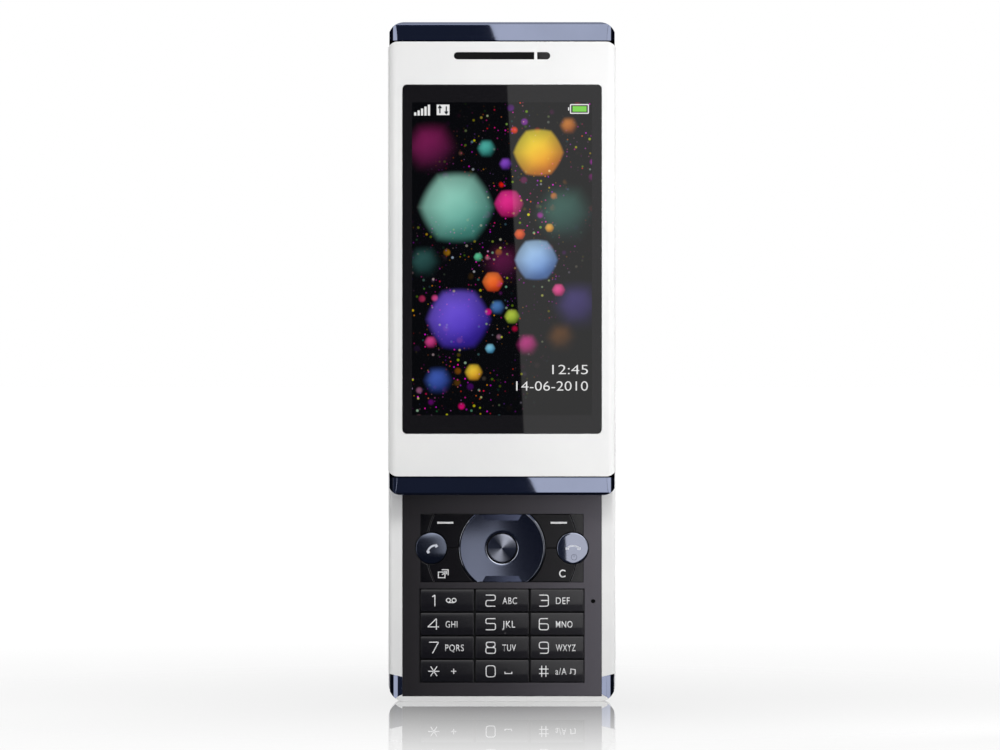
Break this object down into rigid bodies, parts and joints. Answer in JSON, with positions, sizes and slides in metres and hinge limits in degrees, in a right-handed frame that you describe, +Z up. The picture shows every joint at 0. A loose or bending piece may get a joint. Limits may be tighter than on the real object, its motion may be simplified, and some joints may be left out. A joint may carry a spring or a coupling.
{
  "type": "slider phone",
  "caption": "Slider mobile phone: a display half runs up on rails over a keypad half with a navigation ring, pressable keys, side keys, rear camera and a removable battery cover.",
  "frame": {"origin": "centre of the bounding box at the foot of the lower half, with the slide open and the phone standing on its lower end", "axes": "+X to the right across the face, -Y out of the face, +Y out of the back, +Z up the phone's length"},
  "size_m": [0.05, 0.0154, 0.1491],
  "materials": {
    "white_shell": "gloss",
    "navy_metallised": "gloss",
    "screen_glass": "gloss",
    "display_cell": "satin",
    "circuit_board": "satin",
    "black_part": "matte",
    "sound_part": "satin",
    "mesh": "satin",
    "black_gloss": "gloss",
    "track_alloy": "satin",
    "steel": "satin",
    "flat_cable": "satin",
    "graphite_panel": "satin",
    "silicone": "matte",
    "dome_film": "satin",
    "battery_can": "satin",
    "clear_lens": "gloss",
    "flash_window": "gloss",
    "key_black": "gloss",
    "key_metallised": "gloss",
    "side_key": "gloss"
  },
  "bodies": {
    "lower_body": {"lower_chassis": "white_shell", "rear_housing": "white_shell", "corner_trims": "navy_metallised", "main_board": "circuit_board", "battery_contacts": "black_part", "antenna": "black_part", "camera_module": "black_part", "loudspeaker": "sound_part", "microphone": "sound_part", "camera_trim": "black_gloss", "corner_tiles": "black_gloss", "slide_runners": "steel", "slide_spring": "steel", "shield_cans": "steel", "sim_holder": "steel", "body_screws": "steel", "side_connector": "steel", "slide_flex": "flat_cable", "keypad_panel": "graphite_panel", "keymat": "silicone", "dome_sheet": "dome_film", "battery": "battery_can", "camera_lens": "clear_lens", "flash_lens": "flash_window"},
    "upper_slide": {"slide_bezel": "white_shell", "display_glass": "screen_glass", "display_module": "display_cell", "display_board": "circuit_board", "top_end_cap": "navy_metallised", "bottom_end_cap": "navy_metallised", "earpiece": "sound_part", "earpiece_mesh": "mesh", "front_sensor": "black_gloss", "track_plate": "track_alloy", "rail_liners": "black_part", "slide_screws": "steel"},
    "key_1": {"key_1": "key_black"},
    "key_2": {"key_2": "key_black"},
    "key_3": {"key_3": "key_black"},
    "key_4": {"key_4": "key_black"},
    "key_5": {"key_5": "key_black"},
    "key_6": {"key_6": "key_black"},
    "key_7": {"key_7": "key_black"},
    "key_8": {"key_8": "key_black"},
    "key_9": {"key_9": "key_black"},
    "key_star": {"key_star": "key_black"},
    "key_0": {"key_0": "key_black"},
    "key_hash": {"key_hash": "key_black"},
    "key_soft_left": {"key_soft_left": "key_black"},
    "key_soft_right": {"key_soft_right": "key_black"},
    "key_menu": {"key_menu": "key_black"},
    "key_clear": {"key_clear": "key_black"},
    "key_call": {"key_call": "key_metallised"},
    "key_end": {"key_end": "key_metallised"},
    "nav_ring": {"nav_ring": "key_metallised"},
    "nav_select": {"nav_select": "key_metallised"},
    "volume_rocker": {"volume_rocker": "side_key"},
    "camera_key": {"camera_key": "side_key"},
    "battery_cover": {"battery_cover": "white_shell"}
  },
  "joints": [
    {"name": "battery_cover_off", "type": "slide", "parent": "lower_body", "child": "battery_cover", "axis": [0, 1, 0], "range_m": [0, 0.012]},
    {"name": "body_slide", "type": "slide", "parent": "lower_body", "child": "upper_slide", "axis": [0, 0, 1], "range_m": [-0.0452, 0], "deforming": ["slide_spring", "slide_flex"]},
    {"name": "camera_key_press", "type": "slide", "parent": "lower_body", "child": "camera_key", "axis": [-1, 0, 0], "range_m": [0, 0.00035], "stiffness_N_per_m": 400},
    {"name": "key_1_press", "type": "slide", "parent": "lower_body", "child": "key_1", "axis": [0, 1, 0], "range_m": [0, 0.0003], "stiffness_N_per_m": 400},
    {"name": "key_2_press", "type": "slide", "parent": "lower_body", "child": "key_2", "axis": [0, 1, 0], "range_m": [0, 0.0003], "stiffness_N_per_m": 400},
    {"name": "key_3_press", "type": "slide", "parent": "lower_body", "child": "key_3", "axis": [0, 1, 0], "range_m": [0, 0.0003], "stiffness_N_per_m": 400},
    {"name": "key_4_press", "type": "slide", "parent": "lower_body", "child": "key_4", "axis": [0, 1, 0], "range_m": [0, 0.0003], "stiffness_N_per_m": 400},
    {"name": "key_5_press", "type": "slide", "parent": "lower_body", "child": "key_5", "axis": [0, 1, 0], "range_m": [0, 0.0003], "stiffness_N_per_m": 400},
    {"name": "key_6_press", "type": "slide", "parent": "lower_body", "child": "key_6", "axis": [0, 1, 0], "range_m": [0, 0.0003], "stiffness_N_per_m": 400},
    {"name": "key_7_press", "type": "slide", "parent": "lower_body", "child": "key_7", "axis": [0, 1, 0], "range_m": [0, 0.0003], "stiffness_N_per_m": 400},
    {"name": "key_8_press", "type": "slide", "parent": "lower_body", "child": "key_8", "axis": [0, 1, 0], "range_m": [0, 0.0003], "stiffness_N_per_m": 400},
    {"name": "key_9_press", "type": "slide", "parent": "lower_body", "child": "key_9", "axis": [0, 1, 0], "range_m": [0, 0.0003], "stiffness_N_per_m": 400},
    {"name": "key_star_press", "type": "slide", "parent": "lower_body", "child": "key_star", "axis": [0, 1, 0], "range_m": [0, 0.0003], "stiffness_N_per_m": 400},
    {"name": "key_0_press", "type": "slide", "parent": "lower_body", "child": "key_0", "axis": [0, 1, 0], "range_m": [0, 0.0003], "stiffness_N_per_m": 400},
    {"name": "key_hash_press", "type": "slide", "parent": "lower_body", "child": "key_hash", "axis": [0, 1, 0], "range_m": [0, 0.0003], "stiffness_N_per_m": 400},
    {"name": "key_soft_left_press", "type": "slide", "parent": "lower_body", "child": "key_soft_left", "axis": [0, 1, 0], "range_m": [0, 0.0003], "stiffness_N_per_m": 400},
    {"name": "key_soft_right_press", "type": "slide", "parent": "lower_body", "child": "key_soft_right", "axis": [0, 1, 0], "range_m": [0, 0.0003], "stiffness_N_per_m": 400},
    {"name": "key_menu_press", "type": "slide", "parent": "lower_body", "child": "key_menu", "axis": [0, 1, 0], "range_m": [0, 0.0003], "stiffness_N_per_m": 400},
    {"name": "key_clear_press", "type": "slide", "parent": "lower_body", "child": "key_clear", "axis": [0, 1, 0], "range_m": [0, 0.0003], "stiffness_N_per_m": 400},
    {"name": "key_call_press", "type": "slide", "parent": "lower_body", "child": "key_call", "axis": [0, 1, 0], "range_m": [0, 0.0003], "stiffness_N_per_m": 400},
    {"name": "key_end_press", "type": "slide", "parent": "lower_body", "child": "key_end", "axis": [0, 1, 0], "range_m": [0, 0.0003], "stiffness_N_per_m": 400},
    {"name": "nav_ring_tilt", "type": "hinge", "parent": "lower_body", "child": "nav_ring", "pos_m": [0, -0.001, 0.0337], "axis": [1, 0, 0], "range_deg": [-1.5, 1.5], "stiffness_Nm_per_rad": 0.05},
    {"name": "nav_select_press", "type": "slide", "parent": "lower_body", "child": "nav_select", "axis": [0, 1, 0], "range_m": [0, 0.0003], "stiffness_N_per_m": 400},
    {"name": "volume_rocker_tilt", "type": "hinge", "parent": "lower_body", "child": "volume_rocker", "pos_m": [0.0238, 0.0022, 0.084], "axis": [0, 1, 0], "range_deg": [-1.5, 1.5], "stiffness_Nm_per_rad": 0.05}
  ]
}
